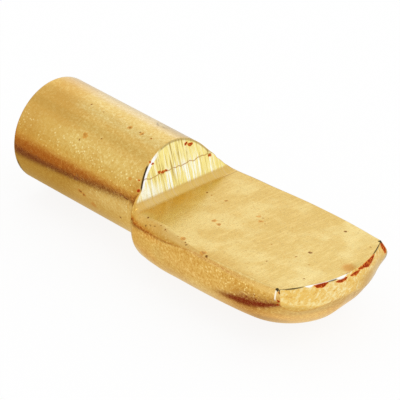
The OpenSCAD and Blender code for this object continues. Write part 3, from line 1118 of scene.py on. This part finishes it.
class OBJECT_OT_pin_stage(bpy.types.Operator):
    """Set up the floor, glowing cards of painted reflection that only the metal sees, the lamps and the
    camera
    """

    bl_idname = "object.pin_stage"
    bl_label = "Set the stage"
    bl_options = {"REGISTER", "UNDO"}

    def execute(self, context):
        s = context.scene.pin_stage
        floor = disc("stage_floor", 1.2, s.floor_z)
        floor.visible_glossy = False
        pale_floor(Sheet(finish_for(floor, "stage_floor")), s.floor_white)
        mirrored_card = disc("stage_mirrored_card", 0.45, s.floor_z - 0.02 * MM)
        painted_table_reflection(Sheet(finish_for(mirrored_card, "stage_mirrored_card")))
        mirrored_belt = band("stage_mirrored_belt", 0.45)
        painted_room_reflection(Sheet(finish_for(mirrored_belt, "stage_mirrored_belt")))
        # the glowing cards of painted reflection are seen by the metal alone
        for card in (mirrored_belt, mirrored_card):
            card.visible_camera = card.visible_diffuse = card.visible_shadow = False
        lamp("stage_key", (0.15, -0.05, 0.30), 0.12, 0.07)
        lamp("stage_window", (-0.26, 0.28, 0.14), 0.30, 0.06)
        daylight(context.scene, s.sky)
        camera(context.scene, s)
        context.scene.view_settings.view_transform = "Standard"
        return {"FINISHED"}


def disc(name, radius, z, corners=96):
    """A flat disc: one face whose corners stand on a circle."""
    angle = np.linspace(0.0, 2.0 * np.pi, corners + 1)[:-1]
    ring = np.stack([radius * np.cos(angle), radius * np.sin(angle), np.full(corners, z)], 1)
    mesh = bpy.data.meshes.new(name)
    mesh.from_pydata(ring.tolist(), [], [list(range(corners))])
    return show(name, mesh)


def band(name, radius, high=16, round_about=96):
    """A belt of a sphere about the pin: rows of equal elevation from the floor to 26 degrees up."""
    rise = np.radians(np.linspace(-0.6, 26.0, high))[:, None]
    turn = np.linspace(0.0, 2.0 * np.pi, round_about + 1)[None, :-1]
    out = radius * np.cos(rise)
    points = np.stack([out * np.cos(turn), out * np.sin(turn), radius * np.sin(rise) + 0 * turn], 2)
    index = np.arange(high * round_about).reshape(high, round_about)
    a, b = index[:-1], np.roll(index[:-1], -1, 1)
    c, d = index[1:], np.roll(index[1:], -1, 1)
    faces = np.stack([b, a, c, d], 2).reshape(-1, 4)
    mesh = bpy.data.meshes.new(name)
    mesh.from_pydata(points.reshape(-1, 3).tolist(), [], faces.tolist())
    return show(name, mesh)


def glowing(sheet, tone):
    """Ends a sheet with light of a colour, at a strength of one."""
    sheet.node("OutputMaterial", {"Surface": sheet.node("Emission", {"Color": tone, "Strength": 1.0})})


def pale_floor(sheet, share):
    """A white floor that takes shadows, and shows the camera that share of plain white."""
    cloth = sheet.node("BsdfDiffuse", {"Color": (0.97, 0.97, 0.97)})
    white = sheet.node("Emission", {"Color": WHITE, "Strength": 1.0})
    shown = sheet.node("LightPath") * share
    sheet.node("OutputMaterial", {"Surface": sheet.node("MixShader", {0: shown, 1: cloth, 2: white})})


def painted_room_reflection(sheet):
    """A glowing belt that only the metal mirrors, a painted reflection of the room: warm low down on the near
    side, else white.
    """
    at = sheet.node("TexCoord", out=3)
    x, y, z = sheet.node("VectorMath", {0: at}, operation="NORMALIZE").parts()
    low = sheet.mix((0.84, 0.72, 0.48), (0.95, 0.92, 0.85), z.ramp(0.0, 0.34))
    near = (x * -0.64 + y * -0.77).ramp(0.0, 0.35)
    glowing(sheet, sheet.mix(WHITE, low, near * z.ramp(0.42, 0.30)))


def painted_table_reflection(sheet):
    """A glowing card under the floor that only the metal mirrors: a painted reflection of the table.

    It is white behind and in front of the tip and tan beside the pin. A painted dark line runs along it on
    the near side, at the signed distance called gap, and past that line it is warm and pales with distance.
    """
    x, y, _ = (sheet.node("TexCoord", out=3) * (1.0 / MM)).parts()
    head = x.ramp(-5.5, -1.5)
    from_end = x + 11.8, y + 11.0
    away = sheet.apart("LENGTH", sheet.vector(*from_end, 0.0))
    side = from_end[0] * 0.75 + from_end[1] * 0.65
    gap = (away - 4.2).least(side + 2.0) * (1.0 - head) + (y + 7.4) * head
    brown = sheet.mix((0.55, 0.36, 0.15), (0.86, 0.66, 0.40), y.ramp(-5.0, -4.2))
    pale = sheet.mix((0.78, 0.66, 0.42), (0.94, 0.91, 0.84), y.ramp(-3.0, -5.5))
    shank_dark_reflection = gap.span(-1.5, -0.2, 1.2, 2.6) * side.ramp(-2.5, 1.0) * x.ramp(-4.4, -7.4)
    head_dark_reflection = gap.span(-2.6, -1.7, 2.1, 3.4) * x.span(7.0, 8.8, 13.2, 15.5)
    tone = sheet.paint(
        (0.65, 0.52, 0.27),
        (pale, x.ramp(-7.0, -4.5)),
        ((0.96, 0.85, 0.60), x.ramp(-3.0, 0.5)),
        ((1.04, 0.95, 0.82), y.ramp(-4.8, -5.8) * x.ramp(0.5, 2.5)),
        (brown, gap.ramp(1.0, 2.5) * x.span(6.6, 9.0, 10.6, 12.6)),
        (sheet.mix((0.56, 0.25, 0.10), (1.03, 0.93, 0.76), head), gap.ramp(1.2, -1.2)),
        (sheet.mix((0.72, 0.46, 0.22), (1.03, 0.92, 0.70), head), gap.ramp(-2.5, -9.0)),
        ((0.93, 0.80, 0.56), gap.ramp(-10.0, -45.0)),
        ((0.95, 0.85, 0.64), gap.ramp(-60.0, -180.0)),
        # painted dark reflections beside the shank and the head
        ((0.22, 0.08, 0.09), shank_dark_reflection),
        ((0.29, 0.060, 0.055), head_dark_reflection),
        (WHITE, y.ramp(-0.5, 5.0).most(x.ramp(12.0, 19.0))),
        ((0.50, 0.38, 0.22), y.span(6.0, 9.0, 12.0, 17.0) * x.ramp(-3.0, -8.0)),
    )
    glowing(sheet, tone)


def lamp(name, place, size, watts):
    """A square area lamp that looks at the pin."""
    data = bpy.data.lights.new(name, "AREA")
    data.size = size
    data.energy = watts
    item = show(name, data)
    item.location = place
    item.visible_camera = False
    item.rotation_mode = "QUATERNION"
    item.rotation_quaternion = (-Vector(place)).to_track_quat("-Z", "Y")


def daylight(scene, level):
    """A white world to the camera, to mirrors and to glass, and a soft even light to the rest."""
    world = bpy.data.worlds.new("stage_world")
    world.use_nodes = True
    scene.world = world
    sheet = Sheet(world.node_tree)
    path = sheet.node("LightPath").socket.node
    rays = "Is Camera Ray", "Is Glossy Ray", "Is Transmission Ray"
    camera_ray, glossy_ray, through_ray = (Wire(sheet, path.outputs[name]) for name in rays)
    shown = camera_ray.most(glossy_ray).most(through_ray)
    light = sheet.node("Background", {"Color": WHITE, "Strength": level + shown * (1.0 - level)})
    sheet.node("OutputWorld", {"Surface": light})


def camera(scene, s):
    """The camera, from its place and two of its axes."""
    back, right = Vector(s.back).normalized(), Vector(s.right)
    right = (right - back * right.dot(back)).normalized()
    up = back.cross(right)
    data = bpy.data.cameras.new("stage_camera")
    data.lens = data.sensor_width * s.focal
    data.clip_start, data.clip_end = 0.01, 10.0
    item = show("stage_camera", data)
    turn = Matrix((right, up, back)).transposed().to_4x4()
    item.matrix_world = Matrix.Translation(Vector(s.eye)) @ turn
    scene.camera = item


# Each group of properties by its name on the scene, with its label and its operator
GROUPS = {
    "pin_shape": (PinShape, "Surface", OBJECT_OT_pin_surface),
    "pin_finish": (PinFinish, "Finish", OBJECT_OT_pin_finish),
    "pin_stage": (PinStage, "Stage", OBJECT_OT_pin_stage),
}


class VIEW3D_PT_pin(bpy.types.Panel):
    """The pin's sizes, finish and stage"""

    bl_label = "Shelf support pin"
    bl_idname = "VIEW3D_PT_pin"
    bl_space_type = "VIEW_3D"
    bl_region_type = "UI"
    bl_category = "Pin"

    def draw(self, context):
        for name, (group, label, action) in GROUPS.items():
            box = self.layout.box()
            box.label(text=label)
            for key in group.__annotations__:
                box.prop(getattr(context.scene, name), key)
            box.operator(action.bl_idname)


def register():
    for name, (group, _, action) in GROUPS.items():
        bpy.utils.register_class(group)
        bpy.utils.register_class(action)
        setattr(bpy.types.Scene, name, PointerProperty(type=group))
    bpy.utils.register_class(VIEW3D_PT_pin)


def unregister():
    bpy.utils.unregister_class(VIEW3D_PT_pin)
    for name, (group, _, action) in GROUPS.items():
        delattr(bpy.types.Scene, name)
        bpy.utils.unregister_class(action)
        bpy.utils.unregister_class(group)


def main():
    """Registers the add-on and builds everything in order."""
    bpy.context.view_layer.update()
    register()
    bpy.ops.object.pin_surface()
    bpy.ops.object.pin_finish()
    bpy.ops.object.pin_stage()
    bpy.context.view_layer.update()


if __name__ == "__main__":
    main()
